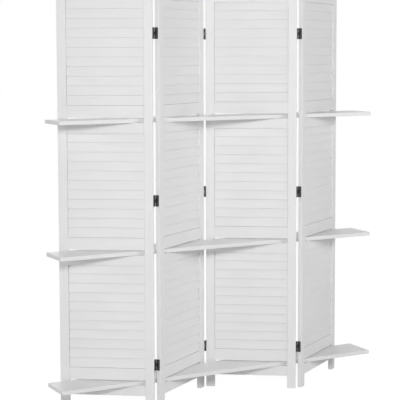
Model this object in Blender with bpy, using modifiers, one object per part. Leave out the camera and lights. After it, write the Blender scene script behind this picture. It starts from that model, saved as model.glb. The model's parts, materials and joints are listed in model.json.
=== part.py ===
# Folding screen with three shelf boards: four louvred panels stand in a zigzag, joined by butt
# hinges, and three long boards are threaded through slots in all four panels.
# Metres, +Z up. The origin lies on the floor, below the middle of the screen.
# The left half stands at -X and the side that shows in front faces -Y.

import math

import bmesh
import bpy
from mathutils import Matrix, Vector

# Driving sizes of a panel
PANEL_COUNT = 4
PANEL_WIDTH = 0.386
FRAME_THICKNESS = 0.0175
STILE_WIDTH = 0.037
FOOT_HEIGHT = 0.055
BOTTOM_RAIL_HEIGHT = 0.043
SILL_RAIL_HEIGHT = 0.0486
TOP_RAIL_HEIGHT = 0.0466
LOUVRE_OPENING_HEIGHT = 0.4206
LEVEL_COUNT = 3
FOLD_HALF_ANGLE = math.radians(34.3)

# Louvre slats
SLAT_COUNT = 11
SLAT_THICKNESS = 0.006
SLAT_SETBACK = 0.0035
SLAT_LEAN = 0.005
SLAT_OVERLAP = 0.004
SLAT_LIFT = 0.0025

# Joinery
TENON_LENGTH = 0.012
TENON_THICKNESS = 0.007
TENON_SHOULDER = 0.006
EDGE_EASE = 0.0012
FOOT_EASE = 0.0035
JOINT_GAP = 0.0003

# Shelf boards
SHELF_LENGTH = 1.47
SHELF_WIDTH = 0.152
SHELF_THICKNESS = 0.0158
SHELF_HEADROOM = 0.0047

# Butt hinges
HINGE_COUNT = 3
HINGE_SPACING = 0.67
LEAF_HEIGHT = 0.046
LEAF_WIDTH = 0.0145
LEAF_THICKNESS = 0.0013
KNUCKLE_RADIUS = 0.0028
KNUCKLE_GAP = 0.0004
PIN_RADIUS = 0.0012
PIN_CLEARANCE = 0.0003
FOLD_GAP = 0.0065
PIVOT_STAND_OFF = 0.003
SCREW_HEAD_RADIUS = 0.0024
SCREW_HEAD_HEIGHT = 0.0006
SCREW_EDGE_DISTANCE = 0.01
ROUND_SEGMENTS = 12

# Cutters reach past what they cut by this much
OVERRUN = 0.002

# Sizes that follow
SLOT_HEIGHT = SHELF_THICKNESS + SHELF_HEADROOM
LEVEL_PITCH = BOTTOM_RAIL_HEIGHT + SLOT_HEIGHT + SILL_RAIL_HEIGHT + LOUVRE_OPENING_HEIGHT
PANEL_HEIGHT = FOOT_HEIGHT + LEVEL_COUNT * LEVEL_PITCH + TOP_RAIL_HEIGHT
OPENING_WIDTH = PANEL_WIDTH - 2 * STILE_WIDTH
RAIL_LENGTH = OPENING_WIDTH - 2 * JOINT_GAP
TENON_SPAN = OPENING_WIDTH + 2 * TENON_LENGTH
PIVOT_OFF_CENTRE = PANEL_WIDTH / 2 + FOLD_GAP / 2
PIVOT_OFF_FACE = FRAME_THICKNESS / 2 + PIVOT_STAND_OFF
PANEL_SPACING = 2 * (
    PIVOT_OFF_CENTRE * math.cos(FOLD_HALF_ANGLE) + PIVOT_OFF_FACE * math.sin(FOLD_HALF_ANGLE)
)

SPACE_AXES = Matrix(((0, 0, 1, 0), (1, 0, 0, 0), (0, 1, 0, 0), (0, 0, 0, 1)))


def clear_scene():
    """Remove every object that the file starts with."""
    for item in list(bpy.data.objects):
        bpy.data.objects.remove(item, do_unlink=True)


def make_collection(name):
    """A new collection below the scene's own."""
    group = bpy.data.collections.new(name)
    bpy.context.scene.collection.children.link(group)
    return group


def make_material(name, colour, roughness, metallic):
    """A plain Principled finish."""
    finish = bpy.data.materials.new(name)
    finish.use_nodes = True
    shader = finish.node_tree.nodes["Principled BSDF"]
    shader.inputs["Base Color"].default_value = (*colour, 1)
    shader.inputs["Roughness"].default_value = roughness
    shader.inputs["Metallic"].default_value = metallic
    return finish


clear_scene()
PARTS = make_collection("folding_screen_with_shelves")
CUTTERS = make_collection("cutters")
WHITE_PAINT = make_material("white_painted_wood", (0.80, 0.80, 0.79), 0.5, 0.0)
SHELF_PAINT = make_material("white_painted_shelf", (0.79, 0.79, 0.78), 0.5, 0.0)
BLACK_STEEL = make_material("black_lacquered_steel", (0.02, 0.02, 0.022), 0.35, 0.8)


def mesh_from(shape, name):
    """Turn a bmesh into a mesh."""
    mesh = bpy.data.meshes.new(name)
    shape.to_mesh(mesh)
    shape.free()
    return mesh


def add_object(name, mesh, group, finish=None, parent=None, place=None):
    """Link an object for a mesh, with its finish, its parent and its place under that parent."""
    item = bpy.data.objects.new(name, mesh)
    group.objects.link(item)
    if finish is not None and not mesh.materials:
        mesh.materials.append(finish)
    item.parent = parent
    if place is not None:
        item.matrix_local = place
    return item


def box(low, high):
    """A bmesh box between two corners."""
    shape = bmesh.new()
    bmesh.ops.create_cube(shape, size=1)
    low, high = Vector(low), Vector(high)
    span = high - low
    bmesh.ops.scale(shape, vec=span, verts=shape.verts)
    bmesh.ops.translate(shape, vec=low + span / 2, verts=shape.verts)
    return shape


def merge(shapes):
    """Put several bmesh shapes into one, each still a body of its own."""
    mesh = bpy.data.meshes.new("merged")
    whole = bmesh.new()
    for shape in shapes:
        shape.to_mesh(mesh)
        shape.free()
        whole.from_mesh(mesh)
    bpy.data.meshes.remove(mesh)
    return whole


def rod(radius, low, high):
    """A closed bmesh cylinder along Z."""
    shape = bmesh.new()
    bmesh.ops.create_cone(
        shape,
        cap_ends=True,
        segments=ROUND_SEGMENTS,
        radius1=radius,
        radius2=radius,
        depth=high - low,
    )
    bmesh.ops.translate(shape, vec=(0, 0, (low + high) / 2), verts=shape.verts)
    return shape


def evaluated_mesh(item, name):
    """The mesh of an object with its modifiers applied."""
    bpy.context.view_layer.update()
    graph = bpy.context.evaluated_depsgraph_get()
    mesh = bpy.data.meshes.new_from_object(item.evaluated_get(graph))
    mesh.name = name
    return mesh


def combine(base, tool, operation, name):
    """Union or difference of two bmesh shapes, as a mesh."""
    base_item = add_object("base_shape", mesh_from(base, "base_shape"), CUTTERS)
    tool_item = add_object("tool_shape", mesh_from(tool, "tool_shape"), CUTTERS)
    step = base_item.modifiers.new(operation.lower(), "BOOLEAN")
    step.operation = operation
    step.object = tool_item
    mesh = evaluated_mesh(base_item, name)
    for item in (base_item, tool_item):
        bpy.data.objects.remove(item, do_unlink=True)
    return mesh


def shape_of(mesh):
    """A bmesh copy of a mesh."""
    shape = bmesh.new()
    shape.from_mesh(mesh)
    return shape


def ease_edges(item, width):
    """Take the sharp edge off a wooden piece, as sanding and paint do."""
    ease = item.modifiers.new("eased_edges", "BEVEL")
    ease.width = width
    ease.segments = 1
    ease.limit_method = "ANGLE"
    ease.angle_limit = math.radians(60)


# Heights of the rails and slots, counted from the floor

def slot_floor(level):
    """Top of the rail that a shelf board rests on."""
    return FOOT_HEIGHT + level * LEVEL_PITCH + BOTTOM_RAIL_HEIGHT


def sill_base(level):
    """Underside of the rail above a shelf slot."""
    return slot_floor(level) + SLOT_HEIGHT


def louvre_base(level):
    """Top of that rail, where the slats start."""
    return sill_base(level) + SILL_RAIL_HEIGHT


def rail_spans():
    """Lowest and highest height of each rail, from the floor up, with its name."""
    spans = []
    for level in range(LEVEL_COUNT):
        under_slot = "bottom_rail" if level == 0 else f"slot_rail_{level + 1}"
        spans.append((under_slot, slot_floor(level) - BOTTOM_RAIL_HEIGHT, slot_floor(level)))
    spans.append(("top_rail", PANEL_HEIGHT - TOP_RAIL_HEIGHT, PANEL_HEIGHT))
    return spans


def sill_spans():
    """Lowest and highest height of the rails that carry the slats."""
    return [(sill_base(level), louvre_base(level)) for level in range(LEVEL_COUNT)]


# Where the panels stand

def panel_turn(panel):
    """Angle of a panel from the X axis: odd ones run forwards, even ones back."""
    return -FOLD_HALF_ANGLE if panel % 2 else FOLD_HALF_ANGLE


def panel_frame(panel):
    """Place of a panel's middle, at floor height: X along its width, Y through its thickness."""
    along = (panel - (PANEL_COUNT + 1) / 2) * PANEL_SPACING
    return Matrix.Translation((along, 0, 0)) @ Matrix.Rotation(panel_turn(panel), 4, "Z")


def add_panel_empty(panel):
    """The empty that carries one panel's pieces. Its own place is the panel's middle."""
    carrier = bpy.data.objects.new(f"panel_{panel}", None)
    carrier.matrix_world = panel_frame(panel)
    PARTS.objects.link(carrier)
    return carrier


# Stiles

def mortise_shapes(side):
    """Boxes that cut the mortises into a stile's inner edge."""
    inner = side * OPENING_WIDTH / 2
    deep = inner + side * (TENON_LENGTH + JOINT_GAP)
    mouth = inner - side * OVERRUN
    half = TENON_THICKNESS / 2 + JOINT_GAP
    spans = [(low, high) for _, low, high in rail_spans()] + sill_spans()
    boxes = []
    for low, high in spans:
        bottom = low + TENON_SHOULDER - JOINT_GAP
        top = high - TENON_SHOULDER + JOINT_GAP
        boxes.append(box((min(mouth, deep), -half, bottom), (max(mouth, deep), half, top)))
    return merge(boxes)


def stile_blank(side):
    """A stile before its mortises: a long board with a chamfered foot and eased edges."""
    inner = side * OPENING_WIDTH / 2
    outer = side * PANEL_WIDTH / 2
    half = FRAME_THICKNESS / 2
    shape = box((min(inner, outer), -half, 0), (max(inner, outer), half, PANEL_HEIGHT))
    shape.edges.ensure_lookup_table()
    foot = [edge for edge in shape.edges if all(abs(v.co.z) < OVERRUN for v in edge.verts)]
    bmesh.ops.bevel(shape, geom=foot, offset=FOOT_EASE, segments=1, affect="EDGES")
    blank = add_object("stile_blank", mesh_from(shape, "stile_blank"), CUTTERS)
    ease_edges(blank, EDGE_EASE)
    mesh = evaluated_mesh(blank, "stile_blank_eased")
    bpy.data.objects.remove(blank, do_unlink=True)
    return shape_of(mesh)


def stile_mesh(side, name):
    """A stile with a blind mortise for every rail."""
    return combine(stile_blank(side), mortise_shapes(side), "DIFFERENCE", name)


# Rails

def tenon_bar(low, high):
    """The bar that makes both tenons of a rail, right through its middle."""
    half = TENON_THICKNESS / 2
    reach = TENON_SPAN / 2
    return box((-reach, -half, low + TENON_SHOULDER), (reach, half, high - TENON_SHOULDER))


def rail_body(low, high):
    """A rail between its shoulders."""
    half = FRAME_THICKNESS / 2
    reach = RAIL_LENGTH / 2
    return box((-reach, -half, low), (reach, half, high))


def rail_mesh(low, high, name):
    """A plain rail with a tenon at each end."""
    return combine(rail_body(low, high), tenon_bar(low, high), "UNION", name)


# Louvres

def slat_outline():
    """Section of one stack of slats, as (depth, height) above its sill, front side first."""
    pitch = LOUVRE_OPENING_HEIGHT / SLAT_COUNT
    slope = SLAT_LEAN / pitch
    face = SLAT_SETBACK - FRAME_THICKNESS / 2
    back = face + SLAT_THICKNESS
    top = LOUVRE_OPENING_HEIGHT - JOINT_GAP
    lower_edges = [index * pitch + (SLAT_LIFT if index else 0) for index in range(SLAT_COUNT)]
    front = [(face, -OVERRUN)]
    rear = [(back, -OVERRUN)]
    for here, following in zip(lower_edges, lower_edges[1:]):
        front.append((face, here))
        front.append((face + slope * (following - here), following))
        shoulder = following + SLAT_OVERLAP
        rear.append((back + slope * (shoulder - here), shoulder))
        rear.append((back + slope * SLAT_OVERLAP, shoulder))
    last = lower_edges[-1]
    front.append((face, last))
    front.append((face + slope * (top - last), top))
    rear.append((back + slope * (top - last), top))
    return front + rear[::-1]


def slat_stack(base):
    """The slats of one opening, as a solid along the panel's width."""
    outline = bpy.data.curves.new("slat_section", "CURVE")
    outline.dimensions = "2D"
    outline.fill_mode = "BOTH"
    outline.extrude = RAIL_LENGTH / 2
    points = slat_outline()
    spline = outline.splines.new("POLY")
    spline.points.add(len(points) - 1)
    spline.use_cyclic_u = True
    for knot, (depth, height) in zip(spline.points, points):
        knot.co = (depth, base + height, 0, 1)
    item = bpy.data.objects.new("slat_section", outline)
    CUTTERS.objects.link(item)
    mesh = evaluated_mesh(item, "slat_stack")
    bpy.data.objects.remove(item, do_unlink=True)
    shape = shape_of(mesh)
    bmesh.ops.remove_doubles(shape, verts=shape.verts, dist=JOINT_GAP / 10)
    shape.transform(SPACE_AXES)
    bmesh.ops.recalc_face_normals(shape, faces=shape.faces)
    return shape


def louvre_mesh(level, name):
    """One louvre unit: the sill rail with its tenons, and the stack of slats standing on it."""
    low, high = sill_spans()[level]
    sill = rail_mesh(low, high, "sill_rail")
    return combine(shape_of(sill), slat_stack(high), "UNION", name)


# Shelf boards

def shelf_mesh():
    """A plain board, from its own middle."""
    half_length = SHELF_LENGTH / 2
    half_width = SHELF_WIDTH / 2
    half_thickness = SHELF_THICKNESS / 2
    shape = box(
        (-half_length, -half_width, -half_thickness),
        (half_length, half_width, half_thickness),
    )
    return mesh_from(shape, "shelf_board")


# Hinges

def knuckle_spans():
    """Heights of the three knuckles of a hinge, from its middle."""
    share = LEAF_HEIGHT / 3
    half_gap = KNUCKLE_GAP / 2
    lower = (-LEAF_HEIGHT / 2, -share / 2 - half_gap)
    middle = (-share / 2 + half_gap, share / 2 - half_gap)
    upper = (share / 2 + half_gap, LEAF_HEIGHT / 2)
    return lower, middle, upper


def leaf_plate(spans):
    """The flat of a leaf against a stile's edge, with a tongue to each of its knuckles.

    X points away from the stile to the other panel, Y from the leaf to the knuckles, and the
    pivot is the origin."""
    seat = JOINT_GAP - FOLD_GAP / 2
    face = seat + LEAF_THICKNESS
    tip = -PIVOT_STAND_OFF - LEAF_WIDTH
    root = -KNUCKLE_RADIUS - KNUCKLE_GAP
    half = LEAF_HEIGHT / 2
    plate = box((seat, tip, -half), (face, root, half))
    mesh = mesh_from(plate, "leaf_plate")
    for low, high in spans:
        tongue = box((seat, root - OVERRUN, low), (face, 0, high))
        mesh = combine(shape_of(mesh), tongue, "UNION", "leaf_plate")
    return mesh, face


def leaf_mesh(with_pin, name):
    """A leaf: the pinned one has the two outer knuckles, the other one the bored middle one."""
    lower, middle, upper = knuckle_spans()
    spans = (lower, upper) if with_pin else (middle,)
    mesh, face = leaf_plate(spans)
    for low, high in spans:
        knuckle = rod(KNUCKLE_RADIUS, low, high)
        mesh = combine(shape_of(mesh), knuckle, "UNION", name)
    if with_pin:
        pin = rod(PIN_RADIUS, lower[0] + KNUCKLE_GAP, upper[1] - KNUCKLE_GAP)
        mesh = combine(shape_of(mesh), pin, "UNION", name)
    else:
        bore = rod(PIN_RADIUS + PIN_CLEARANCE, middle[0] - OVERRUN, middle[1] + OVERRUN)
        mesh = combine(shape_of(mesh), bore, "DIFFERENCE", name)
    across = -PIVOT_STAND_OFF - LEAF_WIDTH / 2
    for height in (SCREW_EDGE_DISTANCE - LEAF_HEIGHT / 2, LEAF_HEIGHT / 2 - SCREW_EDGE_DISTANCE):
        head = rod(SCREW_HEAD_RADIUS, -LEAF_THICKNESS / 2, SCREW_HEAD_HEIGHT)
        head.transform(Matrix.Rotation(math.pi / 2, 4, "Y"))
        head.transform(Matrix.Translation((face, across, height)))
        mesh = combine(shape_of(mesh), head, "UNION", name)
    return mesh


def mirrored_leaf(mesh, name):
    """The same leaf for the other panel, turned over across the pivot."""
    shape = shape_of(mesh)
    shape.transform(Matrix.Scale(-1, 4, Vector((1, 0, 0))))
    bmesh.ops.reverse_faces(shape, faces=shape.faces)
    return mesh_from(shape, name)


def pivot_in_panel(side, concave):
    """Place of a fold's pivot in a panel: side is its edge, concave the face it lies behind."""
    place = Matrix.Translation((side * PIVOT_OFF_CENTRE, concave * PIVOT_OFF_FACE, 0))
    if concave < 0:
        place = place @ Matrix.Rotation(math.pi, 4, "Z")
    return place


def hinge_heights():
    """Heights of the hinges on a fold, the middle one half way up."""
    middle = PANEL_HEIGHT / 2
    offsets = [index - (HINGE_COUNT - 1) / 2 for index in range(HINGE_COUNT)]
    return [middle + offset * HINGE_SPACING for offset in offsets]


# The assembly

def add_panels():
    """Frames and louvres of all the panels."""
    stiles = {side: stile_mesh(side, f"stile_{name}") for side, name in ((-1, "left"), (1, "right"))}
    rails = {name: rail_mesh(low, high, name) for name, low, high in rail_spans()}
    louvres = [louvre_mesh(level, f"louvre_{level + 1}") for level in range(LEVEL_COUNT)]
    carriers = {}
    for panel in range(1, PANEL_COUNT + 1):
        carrier = add_panel_empty(panel)
        carriers[panel] = carrier
        label = f"panel_{panel}"
        add_object(f"{label}_left_stile", stiles[-1], PARTS, WHITE_PAINT, carrier)
        add_object(f"{label}_right_stile", stiles[1], PARTS, WHITE_PAINT, carrier)
        for name, mesh in rails.items():
            add_object(f"{label}_{name}", mesh, PARTS, WHITE_PAINT, carrier)
        for level, mesh in enumerate(louvres):
            add_object(f"{label}_louvre_{level + 1}", mesh, PARTS, WHITE_PAINT, carrier)
    return carriers


def add_hinges(carriers):
    """Three hinges on each fold, with a leaf on either panel."""
    pinned = leaf_mesh(True, "pinned_leaf")
    bored = mirrored_leaf(leaf_mesh(False, "bored_leaf"), "bored_leaf")
    pinned_turned = mirrored_leaf(pinned, "pinned_leaf_turned")
    bored_turned = mirrored_leaf(bored, "bored_leaf_turned")
    for panel in range(1, PANEL_COUNT):
        concave = 1 if panel % 2 else -1
        left_leaf, right_leaf = (pinned, bored) if concave > 0 else (pinned_turned, bored_turned)
        left_place = pivot_in_panel(1, concave)
        right_place = pivot_in_panel(-1, concave)
        for number, height in enumerate(hinge_heights(), start=1):
            lift = Matrix.Translation((0, 0, height))
            label = f"hinge_{panel}{panel + 1}_{number}"
            add_object(f"{label}_pinned_leaf", left_leaf, PARTS, BLACK_STEEL, carriers[panel],
                       left_place @ lift)
            add_object(f"{label}_bored_leaf", right_leaf, PARTS, BLACK_STEEL, carriers[panel + 1],
                       right_place @ lift)


def add_shelves():
    """Three boards through the slots of all the panels."""
    mesh = shelf_mesh()
    for level, name in enumerate(("shelf_bottom", "shelf_middle", "shelf_top")):
        centre = slot_floor(level) + JOINT_GAP + SHELF_THICKNESS / 2
        board = add_object(name, mesh, PARTS, SHELF_PAINT, None, Matrix.Translation((0, 0, centre)))
        ease_edges(board, EDGE_EASE)


panels = add_panels()
add_hinges(panels)
add_shelves()
bpy.context.view_layer.update()
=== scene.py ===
# %% [markdown]
# # A white folding screen with three long shelf boards
#
# Four louvred panels stand in a zigzag, and three boards run through slots in all of them. The
# packed model already holds each piece at its real size and place. This lesson dresses it. Every
# piece is rebuilt a little finer over the packed one, with rounded edges, slats that are planks of
# their own and hinges with rolled knuckles, and then it gets paint that lets the wood show through.
# All sizes are in metres.

# %% Load the packed model
import json
import math

import bmesh
import bpy
import numpy as np
from mathutils import Matrix, Vector

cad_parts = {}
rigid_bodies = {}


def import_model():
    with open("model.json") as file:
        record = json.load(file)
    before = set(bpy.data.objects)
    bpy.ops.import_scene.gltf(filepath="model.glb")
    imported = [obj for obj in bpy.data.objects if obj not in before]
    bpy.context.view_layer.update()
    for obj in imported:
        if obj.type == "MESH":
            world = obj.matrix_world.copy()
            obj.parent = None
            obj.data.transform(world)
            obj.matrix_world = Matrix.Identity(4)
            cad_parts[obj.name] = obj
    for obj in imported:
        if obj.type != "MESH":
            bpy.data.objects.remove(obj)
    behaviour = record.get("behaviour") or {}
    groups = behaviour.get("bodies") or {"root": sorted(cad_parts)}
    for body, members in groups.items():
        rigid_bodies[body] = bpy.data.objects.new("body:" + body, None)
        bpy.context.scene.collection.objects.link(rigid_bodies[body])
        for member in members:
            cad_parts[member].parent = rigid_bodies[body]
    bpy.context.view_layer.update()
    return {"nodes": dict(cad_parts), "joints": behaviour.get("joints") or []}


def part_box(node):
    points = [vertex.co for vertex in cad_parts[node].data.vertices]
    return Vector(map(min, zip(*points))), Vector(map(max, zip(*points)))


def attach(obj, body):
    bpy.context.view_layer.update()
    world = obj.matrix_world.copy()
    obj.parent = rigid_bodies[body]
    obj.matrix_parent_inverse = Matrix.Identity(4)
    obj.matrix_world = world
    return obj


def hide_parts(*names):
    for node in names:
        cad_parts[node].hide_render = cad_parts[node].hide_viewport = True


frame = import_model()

print("packed pieces:", len(frame["nodes"]))

# %% [markdown]
# ## The camera
#
# A camera can be placed by eye, by matching a few corners, or by a least-squares fit of many
# points. The fit is the surest way here, because a long lens hides small errors of distance. It
# found a camera at eye height, well to the left of the screen, that looks slightly down through a
# long lens. The picture is also cut a little low, which Blender calls a lens shift, so upright
# edges stay nearly upright.

# %% Place the camera
PICTURE_SIDE = 400
SENSOR_WIDTH = 36
FOCAL_LENGTH_IN_PIXELS = 1283.8
AXIS_ROW = 160
CAMERA_PLACE = Vector((-2.5809, -4.7065, 1.4532))
CAMERA_YAW = math.radians(-28.008)
CAMERA_PITCH = math.radians(4.905)
CAMERA_ROLL = math.radians(-0.156)

lens = bpy.data.cameras.new("camera")
lens.sensor_width = SENSOR_WIDTH
lens.lens = FOCAL_LENGTH_IN_PIXELS / PICTURE_SIDE * lens.sensor_width
lens.shift_y = (AXIS_ROW - PICTURE_SIDE / 2) / PICTURE_SIDE
camera = bpy.data.objects.new("camera", lens)
bpy.context.scene.collection.objects.link(camera)
camera.matrix_world = (
    Matrix.Translation(CAMERA_PLACE)
    @ Matrix.Rotation(CAMERA_YAW, 4, "Z")
    @ Matrix.Rotation(math.pi / 2 - CAMERA_PITCH, 4, "X")
    @ Matrix.Rotation(CAMERA_ROLL, 4, "Z")
)
bpy.context.scene.camera = camera
bpy.context.scene.view_settings.view_transform = "Standard"
print("lens in mm:", round(lens.lens, 1), "shift:", round(lens.shift_y, 3))

# %% [markdown]
# ## Shader sums as plain Python
#
# A finish is a small calculation that runs at every point of a surface. Blender draws it as nodes
# and wires, which soon becomes a tangle in a script. So one small class wraps the output of a node
# and knows how to be added, taken away and multiplied. An expression such as `1 - pores * 0.4` then
# adds its own Math nodes. Every other node comes from one method, which sets the node's options
# first and its sockets after that.

# %% A socket that can be added and multiplied
class Signal:
    """The output of a node, which can stand in a sum or a product."""

    def __init__(self, graph, socket):
        self.graph = graph
        self.socket = socket

    def __add__(self, other):
        return self.graph.maths("ADD", self, other)

    def __radd__(self, other):
        return self.graph.maths("ADD", other, self)

    def __sub__(self, other):
        return self.graph.maths("SUBTRACT", self, other)

    def __rsub__(self, other):
        return self.graph.maths("SUBTRACT", other, self)

    def __mul__(self, other):
        return self.graph.maths("MULTIPLY", self, other)

    def __rmul__(self, other):
        return self.graph.maths("MULTIPLY", other, self)


known = [name for name in vars(Signal) if name.endswith(("add__", "sub__", "mul__"))]
print("a signal knows:", known)

# %% A tree of nodes
class Graph:
    """The nodes of a finish, of the floor or of the world."""

    def __init__(self, owner):
        owner.use_nodes = True
        self.tree = owner.node_tree
        self.tree.nodes.clear()

    def node(self, kind, settings=None, sockets=None, output=None):
        """Add a node: first its settings, then the values or links of its sockets."""
        made = self.tree.nodes.new(kind)
        for name, value in (settings or {}).items():
            setattr(made, name, value)
        for key, value in (sockets or {}).items():
            socket = self.pick(made.inputs, key)
            if isinstance(value, Signal):
                self.tree.links.new(value.socket, socket)
            else:
                socket.default_value = value
        return Signal(self, self.pick(made.outputs, output or 0)) if made.outputs else made

    @staticmethod
    def pick(sockets, key):
        """A socket by its number, or by its name among those in use."""
        used = [socket for socket in sockets if socket.enabled]
        return used[key] if isinstance(key, int) else next(s for s in used if s.name == key)

    def maths(self, operation, *values):
        """A Math node."""
        return self.node("ShaderNodeMath", {"operation": operation}, dict(enumerate(values)))

    def between(self, value, low, high):
        """A soft mask: 0 below low, 1 above high."""
        return self.node(
            "ShaderNodeMapRange",
            {"interpolation_type": "SMOOTHSTEP"},
            {"Value": value, "From Min": low, "From Max": high},
        )

    def stretched(self, vector, scales):
        """A vector with each of its parts multiplied."""
        return self.node("ShaderNodeVectorMath", {"operation": "MULTIPLY"}, {0: vector, 1: scales})

    def noise(self, vector, detail=2.0, roughness=0.5):
        """Noise with one lump per unit of the vector."""
        sockets = {"Vector": vector, "Scale": 1.0, "Detail": detail, "Roughness": roughness}
        return self.node("ShaderNodeTexNoise", None, sockets)

    def blend(self, share, first, second):
        """A colour between two others."""
        sockets = {"Factor": share, "A": first, "B": second}
        return self.node("ShaderNodeMix", {"data_type": "RGBA"}, sockets, "Result")


def grey(level):
    """A neutral colour."""
    return (level, level, level, 1.0)


print("finishes can now be written as sums")

# %% [markdown]
# ## The stage: white all round
#
# The screen stands on a white floor in front of a white wall, lit so evenly that neither can be
# seen. A bright white world would do that too, but it would wash the white paint out. So the world
# is white only for the camera, and for the mirror images in metal, while the light that reaches the
# object is set by itself. The floor does the same and still darkens a little where the screen takes
# its light away.

# %% The world
ROOM_LIGHT = 0.05
WHITE = 1.0


def seen_directly(graph):
    """1 for rays from the camera, a mirror or glass, and 0 for the rays that carry light."""
    direct = [graph.node("ShaderNodeLightPath", output=kind)
              for kind in ("Is Camera Ray", "Is Glossy Ray", "Is Transmission Ray")]
    return graph.maths("MINIMUM", direct[0] + direct[1] + direct[2], 1.0)


world = bpy.data.worlds.new("white_room")
bpy.context.scene.world = world
sky = Graph(world)
room_light = sky.node("ShaderNodeBackground", None, {"Color": grey(1), "Strength": ROOM_LIGHT})
white_wall = sky.node("ShaderNodeBackground", None, {"Color": grey(1), "Strength": WHITE})
shares = {0: seen_directly(sky), 1: room_light, 2: white_wall}
backdrop = sky.node("ShaderNodeMixShader", None, shares)
sky.node("ShaderNodeOutputWorld", None, {"Surface": backdrop})
print("light from the world:", ROOM_LIGHT)

# %% The floor
FLOOR_RADIUS = 40.0
FLOOR_SIDES = 64
FLOOR_PAINT = 0.8
FLOOR_GLOW = 0.88
FLOOR_SHADE = 0.32

floor_mesh = bpy.data.meshes.new("floor")
floor_shape = bmesh.new()
bmesh.ops.create_circle(floor_shape, cap_ends=True, segments=FLOOR_SIDES, radius=FLOOR_RADIUS)
floor_shape.to_mesh(floor_mesh)
floor_shape.free()
floor = bpy.data.objects.new("floor", floor_mesh)
bpy.context.scene.collection.objects.link(floor)
floor_finish = bpy.data.materials.new("white_floor")
ground = Graph(floor_finish)
lit = ground.node("ShaderNodeBsdfDiffuse", None, {"Color": grey(FLOOR_PAINT)})
shade = ground.node("ShaderNodeBsdfDiffuse", None, {"Color": grey(FLOOR_SHADE)})
glow = ground.node("ShaderNodeEmission", None, {"Color": grey(1), "Strength": FLOOR_GLOW})
shown = ground.node("ShaderNodeAddShader", None, {0: shade, 1: glow})
shares = {0: seen_directly(ground), 1: lit, 2: shown}
surface = ground.node("ShaderNodeMixShader", None, shares)
ground.node("ShaderNodeOutputMaterial", None, {"Surface": surface})
floor_mesh.materials.append(floor_finish)
print("floor radius:", FLOOR_RADIUS)

# %% [markdown]
# ## Lamps
#
# The main light is a softbox in front, a little to the left and not much higher than the screen. It
# draws the long wedges of shadow under the boards, and because it is small, their edges are crisp.
# A weaker one on the right lights the panels that turn away from it. Pale walls and the ceiling
# throw some light back. They could be built as real surfaces, but a wide, weak sun does the same
# for each with one number for its strength. One of them shines from behind, so that the back of the
# screen isn't left in the dark.

# %% Hang the lamps
# Name, power in watts, side in metres and place
SOFTBOXES = (
    ("left_softbox", 65.0, 0.5, (-1.8, -3.8, 2.0)),
    ("right_softbox", 40.0, 1.2, (3.0, -3.0, 1.9)),
)
SCREEN_MIDDLE = Vector((0.0, 0.0, 0.85))
# Name, strength, width of the glow as seen from the screen, azimuth and elevation, in degrees
GLOWS = (
    ("left_wall", 0.42, 20, -50, 12),
    ("far_left_wall", 0.55, 40, -90, 15),
    ("right_wall", 0.3, 30, 54, 20),
    ("ceiling", 0.45, 60, -30, 80),
    ("back_wall", 0.8, 60, 180, 20),
)


def hang_lamp(kind, name, strength, matrix):
    """Put a lamp into the scene."""
    lamp = bpy.data.lights.new(name, kind)
    lamp.energy = strength
    holder = bpy.data.objects.new(name, lamp)
    bpy.context.scene.collection.objects.link(holder)
    holder.matrix_world = matrix
    return lamp


for name, power, side, spot in SOFTBOXES:
    aim = (SCREEN_MIDDLE - Vector(spot)).to_track_quat("-Z", "Y").to_matrix().to_4x4()
    hang_lamp("AREA", name, power, Matrix.Translation(spot) @ aim).size = side
for name, strength, width, azimuth, elevation in GLOWS:
    turn = Matrix.Rotation(math.radians(azimuth), 4, "Z")
    lean = Matrix.Rotation(math.radians(90 - elevation), 4, "X")
    hang_lamp("SUN", name, strength, turn @ lean).angle = math.radians(width)
print("lamps:", [row[0] for row in SOFTBOXES + GLOWS])

# %% [markdown]
# ## Measuring the packed pieces
#
# The new pieces must lie exactly where the packed ones are. Their numbers could be copied by hand,
# but measured ones stay right when the model changes. Each panel is turned about the upright axis,
# so it is measured in a frame of its own: X runs along the panel, Y from its front to its back, Z
# upwards. That frame can be read off the two stiles, because the line between their middles is the
# panel's own X axis.

# %% Frames and boxes of the packed pieces
PANELS = range(1, 1 + sum(name.endswith("left_stile") for name in frame["nodes"]))
LEVELS = range(1, 1 + sum(name.startswith("panel_1_louvre") for name in frame["nodes"]))


def middle_of(node):
    """Middle of a packed piece's box."""
    low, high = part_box(node)
    return (low + high) / 2


def panel_frame(panel):
    """Place of a panel: its middle at floor height, with X along it."""
    left = middle_of(f"panel_{panel}_left_stile")
    right = middle_of(f"panel_{panel}_right_stile")
    along = right - left
    along.z = 0
    along.normalize()
    upright = Vector((0, 0, 1))
    turn = Matrix((along, upright.cross(along), upright)).transposed().to_4x4()
    spot = (left + right) / 2
    spot.z = 0
    return Matrix.Translation(spot) @ turn


def points_of(node, place):
    """All corners of a packed piece, as a panel's frame sees them."""
    back = place.inverted()
    return np.array([back @ vertex.co for vertex in frame["nodes"][node].data.vertices])


def box_in(node, place):
    """Lowest and highest corner of a packed piece in a panel's frame."""
    points = points_of(node, place)
    return Vector(points.min(0)), Vector(points.max(0))


PLACES = {panel: panel_frame(panel) for panel in PANELS}
left_low, left_high = box_in("panel_1_left_stile", PLACES[1])
right_low, _ = box_in("panel_1_right_stile", PLACES[1])
OPENING = (left_high.x, right_low.x)
FRONT, BACK = left_low.y, left_high.y
print("panel frames:", len(PLACES))
print("opening:", round(OPENING[1] - OPENING[0], 4), "thickness:", round(BACK - FRONT, 4))

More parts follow.
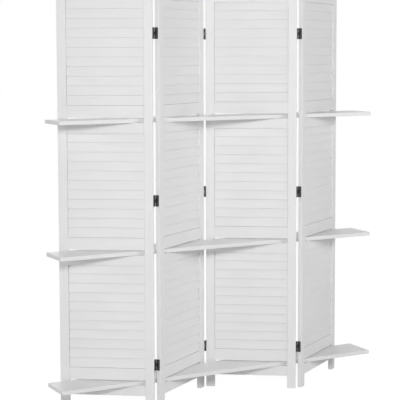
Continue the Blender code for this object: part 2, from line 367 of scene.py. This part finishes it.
# %% [markdown]
# ## Rounded wooden blocks that know their grain
#
# Nearly every piece is a sawn board whose edges were sanded before painting. A cube with all its
# edges bevelled gives that shape. A Bevel modifier could round it later, but the paint has to know
# which points lie on a rounded edge, so the bevel is made in the mesh at once. Grain and wear must
# follow each board, however it is turned. So every point carries two values of its own: its place
# in the board, measured along the grain first, and whether it lies on a rounded edge. A different
# starting place for each board gives each its own piece of the pattern.

# %% An empty shape, and how to round its edges
TRUE_ARC = 0.5


def new_shape():
    """An empty bmesh whose points can hold the grain and the edge."""
    shape = bmesh.new()
    shape.verts.layers.float_vector.new("grain")
    shape.verts.layers.float.new("edge")
    return shape


def edges_of(vertices):
    """The edges that meet at some points, each once and in the same order every time."""
    return list(dict.fromkeys(edge for vertex in vertices for edge in vertex.link_edges))


def round_off(shape, edges, ease, steps):
    """Round some edges off, and give the points that this makes."""
    made = bmesh.ops.bevel(
        shape, geom=edges, offset=ease, segments=steps, profile=TRUE_ARC, affect="EDGES"
    )
    return made["verts"]


print("profile of a rounded edge:", TRUE_ARC)

# %% Tongues at the ends of a block
ON_FACE = 1e-6


def add_tongues(shape, vertices, reach, thickness):
    """Draw a thinner tongue out of both ends of a block, along its back."""
    around = dict.fromkeys(face for vertex in vertices for face in vertex.link_faces)
    for end in [face for face in around if abs(face.normal.x) > 1 - ON_FACE]:
        side = math.copysign(1, end.normal.x)
        tongue = bmesh.ops.extrude_discrete_faces(shape, faces=[end])["faces"][0]
        back = max(vertex.co.y for vertex in tongue.verts)
        for vertex in tongue.verts:
            vertex.co.x += side * reach
            vertex.co.y = max(vertex.co.y, back - thickness)


print("a point lies on a face if it is nearer than", ON_FACE)

# %% Grain and edge marks
BOARD_SHIFT = Vector((0.618, 0.2147, 0.1319))
board_number = 0


def mark_board(shape, vertices, low, high, grain_axis):
    """Give a board's points their place along the grain, and say which lie on a rounded edge."""
    grain = shape.verts.layers.float_vector["grain"]
    edge = shape.verts.layers.float["edge"]
    order = [(grain_axis + step) % 3 for step in range(3)]
    for vertex in vertices:
        spot = Vector([vertex.co[axis] for axis in order])
        vertex[grain] = spot + board_number * BOARD_SHIFT
        depth = min(min(vertex.co - low), min(high - vertex.co))
        vertex[edge] = 0.0 if depth < ON_FACE else 1.0


print("from board to board the pattern moves by", [round(step, 4) for step in BOARD_SHIFT])

# %% Add a rounded block to a shape
EDGE_STEPS = 3
SHARP_ON_WOOD = math.radians(45)


def add_block(shape, low, high, ease, grain_axis, place=None, foot_ease=None, tongue=None):
    """Add a board between two corners. Its grain runs along the axis 0, 1 or 2."""
    global board_number
    board_number += 1
    low, high = Vector(low), Vector(high)
    before = set(shape.verts)
    corners = bmesh.ops.create_cube(shape, size=1)["verts"]
    shoulder = Vector((tongue[0], 0, 0)) if tongue else Vector()
    bmesh.ops.scale(shape, vec=high - low - 2 * shoulder, verts=corners)
    bmesh.ops.translate(shape, vec=(low + high) / 2, verts=corners)
    if foot_ease:
        sole = [corner for corner in corners if corner.co.z < low.z + ON_FACE]
        foot = [edge for edge in edges_of(sole) if all(vertex in sole for vertex in edge.verts)]
        round_off(shape, foot, foot_ease, EDGE_STEPS)
    fresh = [vertex for vertex in shape.verts if vertex not in before]
    sharp = [edge for edge in edges_of(fresh) if edge.calc_face_angle() > SHARP_ON_WOOD]
    round_off(shape, sharp, ease, EDGE_STEPS)
    if tongue:
        add_tongues(shape, [vertex for vertex in shape.verts if vertex not in before], *tongue)
    fresh = [vertex for vertex in shape.verts if vertex not in before]
    mark_board(shape, fresh, low, high, grain_axis)
    if place is not None:
        bmesh.ops.transform(shape, matrix=place, verts=fresh)


print("edges are rounded in", EDGE_STEPS, "steps")

# %% [markdown]
# ## From a shape to a piece of the screen
#
# A shape becomes an object when it is written to a mesh, and then it gets its finish. It is shaded
# smooth so that the rounded edges look round. That alone would make large faces look bent near
# their edges, so Weighted Normal keeps them flat. At last the piece is put on the body it moves
# with, and the packed pieces it stands for are hidden.

# %% Add a piece
def add_piece(name, shape, finish, body, nodes, place=None):
    """Turn a shape into a finished piece that rides on a body and stands for packed pieces."""
    if place is not None:
        bmesh.ops.transform(shape, matrix=place, verts=shape.verts)
    mesh = bpy.data.meshes.new(name)
    shape.to_mesh(mesh)
    shape.free()
    mesh.shade_smooth()
    mesh.materials.append(finish)
    piece = bpy.data.objects.new(name, mesh)
    bpy.context.scene.collection.objects.link(piece)
    flats = piece.modifiers.new("flat_faces", "WEIGHTED_NORMAL")
    flats.keep_sharp = True
    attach(piece, body)
    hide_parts(*nodes)
    return piece


print("packed pieces to dress:", len(frame["nodes"]))

# %% [markdown]
# ## White paint over wood
#
# The wood is a light, soft kind under a thin coat of satin white. Paint fills the pores only in
# part, so fine streaks run along the grain, and the harder rings of each year stand up a little.
# Both could be drawn into an image, but noise that is stretched along the grain gives them without
# any image, at any size, and differently on each board. The streaks darken the colour by very
# little, roughen it and dent it. On rounded edges the coat is thinner and rubbed smooth.

# %% A recipe for painted wood
STREAK_SCALES = (6.0, 240.0, 240.0)
BRUSH_SCALES = (2.5, 900.0, 900.0)
RING_SCALES = (0.9, 14.0, 14.0)
RING_PACE = 160.0
RING_WANDER = 18.0
CLOUD_SCALES = (9.0, 16.0, 16.0)
# Where each pattern starts to show, and where it shows in full
PORES_FROM = (0.53, 0.74)
HARD_RINGS_FROM = (0.35, 0.95)
CLOUDS_FROM = (0.35, 0.75)
# How much of the full shade each gives, and how dark that is
PORE_SHADE = 0.55
SOFT_RING_SHADE = 0.12
CLOUD_SHADE = 0.25
EDGE_SHADE = 0.3
FULL_SHADE = 0.93
# What each adds to the roughness or takes from it
PORE_ROUGHNESS = 0.12
CLOUD_ROUGHNESS = 0.08
EDGE_POLISH = 0.06
# How far each stands up or goes down in the relief
RING_HEIGHT = 0.35
BRUSH_HEIGHT = 0.2
PORE_DEPTH = 0.8
RELIEF_STRENGTH = 0.5


def painted_wood(name, white, depth, sheen):
    """White satin paint on light wood: its white, the depth of its relief and its roughness."""
    finish = bpy.data.materials.new(name)
    graph = Graph(finish)
    board = graph.node("ShaderNodeAttribute", {"attribute_name": "grain"}, output="Vector")
    edge = graph.node("ShaderNodeAttribute", {"attribute_name": "edge"}, output="Fac")
    streaks = graph.noise(graph.stretched(board, STREAK_SCALES), detail=4.0, roughness=0.62)
    pores = graph.between(streaks, *PORES_FROM)
    across = graph.node("ShaderNodeSeparateXYZ", None, {"Vector": board}, "Y")
    wander = graph.noise(graph.stretched(board, RING_SCALES), detail=1.5)
    rings = graph.maths("SINE", across * RING_PACE + wander * RING_WANDER)
    hard_rings = graph.between(rings, *HARD_RINGS_FROM)
    brush = graph.noise(graph.stretched(board, BRUSH_SCALES), detail=1.0)
    clouds = graph.noise(graph.stretched(board, CLOUD_SCALES), detail=3.0)
    wood_shade = pores * PORE_SHADE + (1 - hard_rings) * SOFT_RING_SHADE
    shade = wood_shade + graph.between(clouds, *CLOUDS_FROM) * CLOUD_SHADE + edge * EDGE_SHADE
    colour = graph.blend(shade, grey(white), grey(white * FULL_SHADE))
    gloss = sheen + pores * PORE_ROUGHNESS + clouds * CLOUD_ROUGHNESS - edge * EDGE_POLISH
    height = hard_rings * RING_HEIGHT + brush * BRUSH_HEIGHT - pores * PORE_DEPTH
    bump = {"Strength": RELIEF_STRENGTH, "Distance": depth, "Height": height}
    relief = graph.node("ShaderNodeBump", None, bump, "Normal")
    coat = {"Base Color": colour, "Roughness": gloss, "Normal": relief}
    shader = graph.node("ShaderNodeBsdfPrincipled", None, coat)
    graph.node("ShaderNodeOutputMaterial", None, {"Surface": shader})
    return finish


PANEL_PAINT = painted_wood("panel_white", white=0.82, depth=0.00012, sheen=0.46)
LOUVRE_PAINT = painted_wood("louvre_white", white=0.81, depth=0.00012, sheen=0.48)
SHELF_PAINT = painted_wood("shelf_white", white=0.81, depth=0.00015, sheen=0.42)
print("paints:", [finish.name for finish in (PANEL_PAINT, LOUVRE_PAINT, SHELF_PAINT)])

# %% [markdown]
# ## Stiles
#
# A stile is the upright board at either side of a panel. It runs past the lowest rail, so its end
# is the foot, which is rounded more so that it doesn't splinter when the screen is dragged. One
# bevel can't have two sizes, so the edges of the foot are rounded first, and then all that is still
# sharp. The grain runs upwards.

# %% Make the stiles
STILE_EASE = 0.0018
FOOT_EASE = 0.0032

for panel, place in PLACES.items():
    for side in ("left", "right"):
        node = f"panel_{panel}_{side}_stile"
        shape = new_shape()
        add_block(shape, *box_in(node, place), STILE_EASE, grain_axis=2, foot_ease=FOOT_EASE)
        add_piece(f"stile_{panel}_{side}", shape, PANEL_PAINT,
                  f"panel_{panel}", [node], place)
print("stiles:", 2 * len(PLACES))

# %% [markdown]
# ## Rails
#
# Rails join the stiles. Each packed rail ends in tenons that hide inside the stiles. They could be
# made again, but nobody would see them, so a dressed rail only reaches from stile to stile. It is
# as thick as the stiles, and only its height is measured. The rail below a slot carries a shelf
# board. The sill rail above a slot is one packed piece with its slats, and the two are told apart
# by depth: the sill is as thick as the stiles, and the slats are thinner.

# %% Make the rails
RAIL_EASE = 0.0006
RAILS = ("bottom_rail", "slot_rail_2", "slot_rail_3", "top_rail")


def rail_shape(low, high):
    """A rail from stile to stile between two heights."""
    shape = new_shape()
    add_block(shape, (OPENING[0], FRONT, low), (OPENING[1], BACK, high), RAIL_EASE, grain_axis=0)
    return shape


for panel, place in PLACES.items():
    for rail in RAILS:
        node = f"panel_{panel}_{rail}"
        low, high = box_in(node, place)
        add_piece(f"{rail}_{panel}", rail_shape(low.z, high.z), PANEL_PAINT,
                  f"panel_{panel}", [node], place)
print("rails:", len(RAILS) * len(PLACES))

# %% Make the sill rails
TOUCHING = 1e-5
SILL_SPANS = {}

for level in LEVELS:
    points = points_of(f"panel_1_louvre_{level}", PLACES[1])
    thick = points[np.abs(points[:, 1] - BACK) < TOUCHING]
    SILL_SPANS[level] = (float(thick[:, 2].min()), float(thick[:, 2].max()))
for panel, place in PLACES.items():
    for level, (low, high) in SILL_SPANS.items():
        add_piece(f"sill_rail_{panel}_{level}", rail_shape(low, high), PANEL_PAINT,
                  f"panel_{panel}", [f"panel_{panel}_louvre_{level}"], place)
print("tops of the sill rails:", [round(top, 4) for _, top in SILL_SPANS.values()])

# %% [markdown]
# ## Slats
#
# Each opening holds eleven thin planks that lean back a little, each with its lower edge standing
# in front of the one below. They are set so steep that the louvre looks closed. The lean follows
# from the planks themselves: over one pitch, a plank has to move back by its own thickness and a
# hair more. They could be one folded sheet, but separate planks give the true shadow line under
# each rounded nose. Behind its rounded ends each plank keeps a thin tongue that reaches the stiles,
# so that no light shows through there.

# %% Measure the stack of slats
SLAT_COUNT = 11
SLAT_THICKNESS = 0.005
SLAT_CLEARANCE = 0.00045
SLAT_LIFT = 0.0025

_, louvre_high = box_in("panel_1_louvre_1", PLACES[1])
stack_height = louvre_high.z - SILL_SPANS[1][1]
pitch = stack_height / SLAT_COUNT
lean = math.asin((SLAT_THICKNESS + SLAT_CLEARANCE) / pitch)
slat_points = points_of("panel_1_louvre_1", PLACES[1])
slat_front = float(slat_points[slat_points[:, 2] > SILL_SPANS[1][1] + SLAT_LIFT][:, 1].min())
print("pitch:", round(pitch, 5), "lean in degrees:", round(math.degrees(lean), 2))

# %% Make the slats
SLAT_OVERLAP = 0.0042
SLAT_EASE = 0.0012
TONGUE_REACH = 0.0005
TONGUE_THICKNESS = 0.0022


def slat_shape(base):
    """The planks of one opening, from the lowest up."""
    shape = new_shape()
    noses = [base + index * pitch + (SLAT_LIFT if index else 0) for index in range(SLAT_COUNT)]
    tops = [nose + SLAT_OVERLAP for nose in noses[1:]] + [base + stack_height]
    toe = SLAT_THICKNESS * math.sin(lean)
    tongue = (TONGUE_REACH, TONGUE_THICKNESS)
    for nose, top in zip(noses, tops):
        start = max(nose, base + toe)
        height = (top - start) / math.cos(lean)
        tilt = Matrix.Translation((0, slat_front, start)) @ Matrix.Rotation(-lean, 4, "X")
        corner = (OPENING[1], SLAT_THICKNESS, height)
        add_block(shape, (OPENING[0], 0, 0), corner, SLAT_EASE, 0, tilt, tongue=tongue)
    return shape


for panel, place in PLACES.items():
    for level, (_, sill_top) in SILL_SPANS.items():
        add_piece(f"slats_{panel}_{level}", slat_shape(sill_top), LOUVRE_PAINT,
                  f"panel_{panel}", [f"panel_{panel}_louvre_{level}"], place)
print("slats:", SLAT_COUNT * len(PANELS) * len(LEVELS))

# %% [markdown]
# ## Shelf boards
#
# Three boards lie in the slots and reach a few centimetres past both ends of the screen. Nothing
# fastens them: they only rest on the rails, so each can be drawn out before the screen is folded
# flat. Each is one block with its grain lengthwise. It is made about its own middle and then moved
# into place, so the pattern in its paint starts from there.

# %% Make the boards
BOARD_EASE = 0.0012
BOARDS = ("shelf_bottom", "shelf_middle", "shelf_top")

for node in BOARDS:
    shape = new_shape()
    low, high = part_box(node)
    middle = (low + high) / 2
    add_block(shape, low - middle, high - middle, BOARD_EASE, grain_axis=0)
    add_piece(node.replace("shelf", "board"), shape, SHELF_PAINT, node, [node],
              Matrix.Translation(middle))
print("boards:", len(BOARDS))

# %% [markdown]
# ## Black lacquered steel
#
# The hinges are stamped from thin steel and dipped in black lacquer. Lacquer is a glossy skin over
# a dark ground, a little uneven like orange peel, and it rubs off first on edges and screw heads. A
# plain black would look like a hole in the panel. Two noises make it steel: a fine one dents the
# surface, and a coarser one says where the lacquer is worn, a little more so on the edges.

# %% A recipe for the hinges
PEEL_SCALES = (900.0, 900.0, 900.0)
PEEL_DEPTH = 0.00004
PEEL_STRENGTH = 0.3
WEAR_SCALES = (260.0, 260.0, 260.0)
WEAR_ON_EDGES = 0.16
WORN_FROM = (0.56, 0.74)
WEAR_ROUGHNESS = 0.16
WORN_POLISH = 0.06
LACQUER_METALLIC = 0.12
WORN_METALLIC = 0.6


def lacquered_steel(name, ground, roughness, rubbed):
    """Black lacquer on steel: its colour, its roughness, and its colour where it is rubbed off."""
    finish = bpy.data.materials.new(name)
    graph = Graph(finish)
    spot = graph.node("ShaderNodeAttribute", {"attribute_name": "grain"}, output="Vector")
    edge = graph.node("ShaderNodeAttribute", {"attribute_name": "edge"}, output="Fac")
    peel = graph.noise(graph.stretched(spot, PEEL_SCALES), detail=2.0)
    wear = graph.noise(graph.stretched(spot, WEAR_SCALES), detail=4.0, roughness=0.7)
    worn = graph.between(wear + edge * WEAR_ON_EDGES, *WORN_FROM)
    colour = graph.blend(worn, grey(ground), grey(rubbed))
    gloss = roughness + wear * WEAR_ROUGHNESS - worn * WORN_POLISH
    metal = LACQUER_METALLIC + worn * WORN_METALLIC
    bump = {"Strength": PEEL_STRENGTH, "Distance": PEEL_DEPTH, "Height": peel}
    relief = graph.node("ShaderNodeBump", None, bump, "Normal")
    coat = {"Base Color": colour, "Roughness": gloss, "Metallic": metal, "Normal": relief}
    shader = graph.node("ShaderNodeBsdfPrincipled", None, coat)
    graph.node("ShaderNodeOutputMaterial", None, {"Surface": shader})
    return finish


HINGE_FINISH = lacquered_steel("hinge_black", ground=0.01, roughness=0.34, rubbed=0.09)
SCREW_FINISH = lacquered_steel("screw_black", ground=0.06, roughness=0.28, rubbed=0.3)
print("steel:", HINGE_FINISH.name, SCREW_FINISH.name)

# %% [markdown]
# ## Hinges
#
# A butt hinge has two leaves. Each is a plate whose edge is cut into tongues that are rolled round
# the pin: two on one leaf, one on the other. A box and some tubes pushed into each other would look
# much the same, but would leave faces inside the steel. So the model follows the workshop. A flat
# outline becomes the plate, and then each tongue is drawn out of its edge, step by step round an
# arc, so that plate and knuckles share one skin.
#
# All this happens in a frame whose origin lies on the pin, with X pointing from the leaf's own
# stile to the other panel and Y from the plate towards the pin. For a leaf on the other side that
# frame is a mirror image, and the faces are then turned over.

# %% The plate of a leaf
CORNER_STEPS = 6
PLATE_CORNER = 0.0022


def drawn_out(shape, outline, low, high):
    """Add a flat outline, drawn out from one height to another."""
    ring = [shape.verts.new((x, y, low)) for x, y in outline]
    base = shape.faces.new(ring)
    grown = bmesh.ops.extrude_face_region(shape, geom=[base])["geom"]
    lifted = [item for item in grown if isinstance(item, bmesh.types.BMVert)]
    bmesh.ops.translate(shape, vec=(0, 0, high - low), verts=lifted)
    return ring + lifted


def plate_outline(tip, root, half, cuts):
    """The plate seen on its flat: cut up where the tongues start, round at its free corners."""
    points = [(root, height) for height in sorted({-half, *cuts, half})]
    for side in (1, -1):
        for step in range(CORNER_STEPS + 1):
            angle = math.pi / 2 * step / CORNER_STEPS
            turn = (math.sin(angle), math.cos(angle))
            across, upwards = turn if side > 0 else turn[::-1]
            height = half - PLATE_CORNER * (1 - upwards)
            points.append((tip + PLATE_CORNER * (1 - across), side * height))
    return points


print("corners of a plate are rounded in", CORNER_STEPS, "steps")

# %% The knuckles
KNUCKLE_STEPS = 20
ROLL_END = math.radians(-62)


def arc(radius, start, end, steps):
    """Points along an arc about the pin."""
    angles = [start + (end - start) * step / steps for step in range(steps + 1)]
    return [(radius * math.cos(angle), radius * math.sin(angle)) for angle in angles]


def tongue_section(outer, inner, span):
    """The four corners of a cut across a tongue that lies between two heights."""
    low, high = span
    return [(*outer, low), (*outer, high), (*inner, high), (*inner, low)]


def roll_knuckle(shape, span, seat, face, radius):
    """Draw a stretch of the plate's edge out into a tongue that rolls round the pin."""
    starts = [Vector(corner) for corner in tongue_section((seat, -radius), (face, -radius), span)]
    ring = [min(shape.verts, key=lambda vertex: (vertex.co - start).length) for start in starts]
    shape.faces.remove(shape.faces.get(ring))
    outside = arc(radius, math.pi, ROLL_END, KNUCKLE_STEPS)
    inside = arc(radius - (face - seat), math.pi, ROLL_END, KNUCKLE_STEPS)
    for outer, inner in zip(outside, inside):
        fresh = [shape.verts.new(corner) for corner in tongue_section(outer, inner, span)]
        for corner in range(len(ring)):
            shape.faces.new((ring[corner - 1], ring[corner], fresh[corner], fresh[corner - 1]))
        ring = fresh
    shape.faces.new(ring)


print("a knuckle is rolled in", KNUCKLE_STEPS, "steps")

# %% A whole leaf with rounded edges
STEEL_EDGE_STEPS = 2
SHARP_ON_STEEL = math.radians(60)
PLATE_EASE = 0.00018


def round_edges(shape, ease):
    """Round every sharp outer edge of a steel piece, and mark the rounded ones."""
    outer = [edge for edge in shape.edges if edge.is_convex]
    sharp = [edge for edge in outer if edge.calc_face_angle() > SHARP_ON_STEEL]
    rounded = round_off(shape, sharp, ease, STEEL_EDGE_STEPS)
    edge_mark = shape.verts.layers.float["edge"]
    for vertex in rounded:
        vertex[edge_mark] = 1.0
    mark_steel(shape)


def mark_steel(shape):
    """Steel has no grain: its pattern simply follows the place of each point."""
    grain = shape.verts.layers.float_vector["grain"]
    for vertex in shape.verts:
        vertex[grain] = vertex.co


def leaf_shape(box, spans, radius):
    """A leaf in its own frame: the plate, and a knuckle for each span of heights."""
    seat, face, tip, half = box
    shape = new_shape()
    cuts = [height for span in spans for height in span]
    plate = drawn_out(shape, plate_outline(tip, -radius, half, cuts), 0, face - seat)
    lay_flat = Matrix(((0, 0, 1, seat), (1, 0, 0, 0), (0, 1, 0, 0), (0, 0, 0, 1)))
    bmesh.ops.transform(shape, matrix=lay_flat, verts=plate)
    for span in spans:
        roll_knuckle(shape, span, seat, face, radius)
    bmesh.ops.recalc_face_normals(shape, faces=shape.faces)
    round_edges(shape, PLATE_EASE)
    return shape


print("a leaf's edges are rounded by", PLATE_EASE)

# %% [markdown]
# ## Pins and screws
#
# The pin is a plain rod with rounded ends. A screw head is a low dome with a cross-shaped recess
# for the driver. The dome is turned from its outline, as on a lathe, and the recess is cut with a
# Boolean: two crossed bars are taken out of the dome. The cut leaves some points almost on top of
# each other, so they are welded.

# %% The pin
ROUND_STEPS = 32
PIN_TIP = 0.0005


def pin_shape(radius, half):
    """A pin with rounded ends."""
    shape = new_shape()
    bmesh.ops.create_cone(
        shape, cap_ends=True, segments=ROUND_STEPS, radius1=radius, radius2=radius, depth=2 * half
    )
    round_edges(shape, PIN_TIP)
    return shape


print("a pin has", ROUND_STEPS, "sides")

# %% The dome of a screw head
DOME_STEPS = 6
SCREW_RADIUS = 0.0027
SCREW_DOME = 0.0007
WELD = 1e-6


def dome_mesh():
    """A low dome with its flat side on the floor, turned from a quarter of an ellipse."""
    shape = bmesh.new()
    angles = [math.pi / 2 * step / DOME_STEPS for step in range(DOME_STEPS + 1)]
    curve = [(SCREW_RADIUS * math.sin(angle), SCREW_DOME * math.cos(angle)) for angle in angles]
    profile = [shape.verts.new((x, 0, z)) for x, z in curve] + [shape.verts.new((0, 0, 0))]
    edges = [shape.edges.new(pair) for pair in zip(profile, profile[1:])]
    bmesh.ops.spin(
        shape, geom=profile + edges, cent=(0, 0, 0), axis=(0, 0, 1), angle=math.tau,
        steps=ROUND_STEPS,
    )
    bmesh.ops.remove_doubles(shape, verts=shape.verts, dist=WELD)
    bmesh.ops.recalc_face_normals(shape, faces=shape.faces)
    mesh = bpy.data.meshes.new("dome")
    shape.to_mesh(mesh)
    shape.free()
    return mesh


print("screw heads are", 2 * SCREW_RADIUS, "wide and", SCREW_DOME, "high")

# %% The recess for the driver
CROSS_LENGTH = 0.0034
CROSS_WIDTH = 0.0006
CROSS_DEPTH = 0.0005


def cross_mesh():
    """Two crossed bars, as deep as the driver's recess."""
    shape = bmesh.new()
    for turn in (0, math.pi / 2):
        bar = bmesh.ops.create_cube(shape, size=1)["verts"]
        bmesh.ops.scale(shape, vec=(CROSS_LENGTH, CROSS_WIDTH, 2 * CROSS_DEPTH), verts=bar)
        bmesh.ops.rotate(shape, cent=(0, 0, 0), matrix=Matrix.Rotation(turn, 3, "Z"), verts=bar)
        bmesh.ops.translate(shape, vec=(0, 0, SCREW_DOME), verts=bar)
    mesh = bpy.data.meshes.new("cross")
    shape.to_mesh(mesh)
    shape.free()
    return mesh


def screw_mesh():
    """The dome with its cross-shaped recess."""
    dome = bpy.data.objects.new("dome", dome_mesh())
    cross = bpy.data.objects.new("cross", cross_mesh())
    for item in (dome, cross):
        bpy.context.scene.collection.objects.link(item)
    cut = dome.modifiers.new("recess", "BOOLEAN")
    cut.operation = "DIFFERENCE"
    cut.object = cross
    cut.use_self = True
    bpy.context.view_layer.update()
    cut_dome = dome.evaluated_get(bpy.context.evaluated_depsgraph_get())
    mesh = bpy.data.meshes.new_from_object(cut_dome)
    for item in (dome, cross):
        bpy.data.objects.remove(item, do_unlink=True)
    head = bmesh.new()
    head.from_mesh(mesh)
    bmesh.ops.remove_doubles(head, verts=head.verts, dist=WELD)
    head.to_mesh(mesh)
    head.free()
    return mesh


SCREW_MESH = screw_mesh()
print("a screw head has", len(SCREW_MESH.polygons), "faces")

# %% [markdown]
# ## Fitting the hinges
#
# The packed leaves tell where each plate lies and how tall it is. Turned into the pin's frame,
# their corners give the plate's two faces and its free edge, and the knuckles share the height in
# three.

# %% Measure the packed hinges
hinge_nodes = sorted(name for name in frame["nodes"] if name.startswith("hinge_"))


def joint_axis(left, right):
    """Place of the pin line between two panels, at floor height."""
    joint = next(row for row in frame["joints"] if row["parent"] == left and row["child"] == right)
    spot = Vector(joint["pos_m"])
    spot.z = 0
    return spot


def pin_frame(panel, side, spot, height):
    """Frame on the pin for a leaf: X to the other panel, Y from the plate to the pin."""
    place = PLACES[panel]
    outwards = side * place.to_3x3().col[0]
    local = place.inverted() @ spot
    towards = math.copysign(1, local.y) * place.to_3x3().col[1]
    turn = Matrix((outwards, towards, Vector((0, 0, 1)))).transposed().to_4x4()
    return Matrix.Translation((spot.x, spot.y, height)) @ turn


def leaf_measures(node, place):
    """The plate's seat and face, its free edge and half its height, and the knuckle's radius."""
    points = points_of(node, place)
    plate = points[points[:, 1] < points[:, 1].min() + ON_FACE]
    return (
        float(plate[:, 0].min()),
        float(plate[:, 0].max()),
        float(points[:, 1].min()),
        float(points[:, 2].max()),
        float(points[:, 1].max()),
    )


print("packed leaves:", len(hinge_nodes))

# %% Make the hinges
KNUCKLES = 3
KNUCKLE_GAP = 0.0004
PIN_PLAY = 0.0001
SCREW_FROM_END = 0.01


def place_shape(shape, matrix):
    """Move a shape into the world, and turn its faces over if that mirrors it."""
    bmesh.ops.transform(shape, matrix=matrix, verts=shape.verts)
    if matrix.determinant() < 0:
        bmesh.ops.reverse_faces(shape, faces=shape.faces)
    return shape


def screws_shape(face, tip, radius, half):
    """The two screw heads of a leaf."""
    shape = new_shape()
    across = (tip - radius) / 2
    for height in (SCREW_FROM_END - half, half - SCREW_FROM_END):
        before = set(shape.verts)
        shape.from_mesh(SCREW_MESH)
        fresh = [vertex for vertex in shape.verts if vertex not in before]
        stand = Matrix.Translation((face, across, height)) @ Matrix.Rotation(math.pi / 2, 4, "Y")
        bmesh.ops.transform(shape, matrix=stand, verts=fresh)
    mark_steel(shape)
    return shape


for node in hinge_nodes:
    _, fold, number, kind, _ = node.split("_")
    left, right = int(fold[0]), int(fold[1])
    pinned = kind == "pinned"
    panel, side = (left, 1) if pinned else (right, -1)
    spot = joint_axis(f"panel_{left}", f"panel_{right}")
    place = pin_frame(panel, side, spot, middle_of(node).z)
    seat, face, tip, half, radius = leaf_measures(node, place)
    share = 2 * half / KNUCKLES
    middle_span = (-share / 2 + KNUCKLE_GAP / 2, share / 2 - KNUCKLE_GAP / 2)
    outer_spans = ((-half, -share / 2 - KNUCKLE_GAP / 2), (share / 2 + KNUCKLE_GAP / 2, half))
    spans = outer_spans if pinned else (middle_span,)
    label, body = f"{fold}_{number}_{kind}", f"panel_{panel}"
    leaf = place_shape(leaf_shape((seat, face, tip, half), spans, radius), place)
    add_piece(f"leaf_{label}", leaf, HINGE_FINISH, body, [node])
    screws = place_shape(screws_shape(face, tip, radius, half), place)
    add_piece(f"screws_{label}", screws, SCREW_FINISH, body, [node])
    if pinned:
        pin = place_shape(pin_shape(radius - (face - seat) - PIN_PLAY, half), place)
        add_piece(f"pin_{fold}_{number}", pin, HINGE_FINISH, body, [node])
print("dressed leaves:", len(hinge_nodes), "with", 2 * len(hinge_nodes), "screws")

# %% [markdown]
# ## Sizes
#
# Dressing must not change the size of the thing.
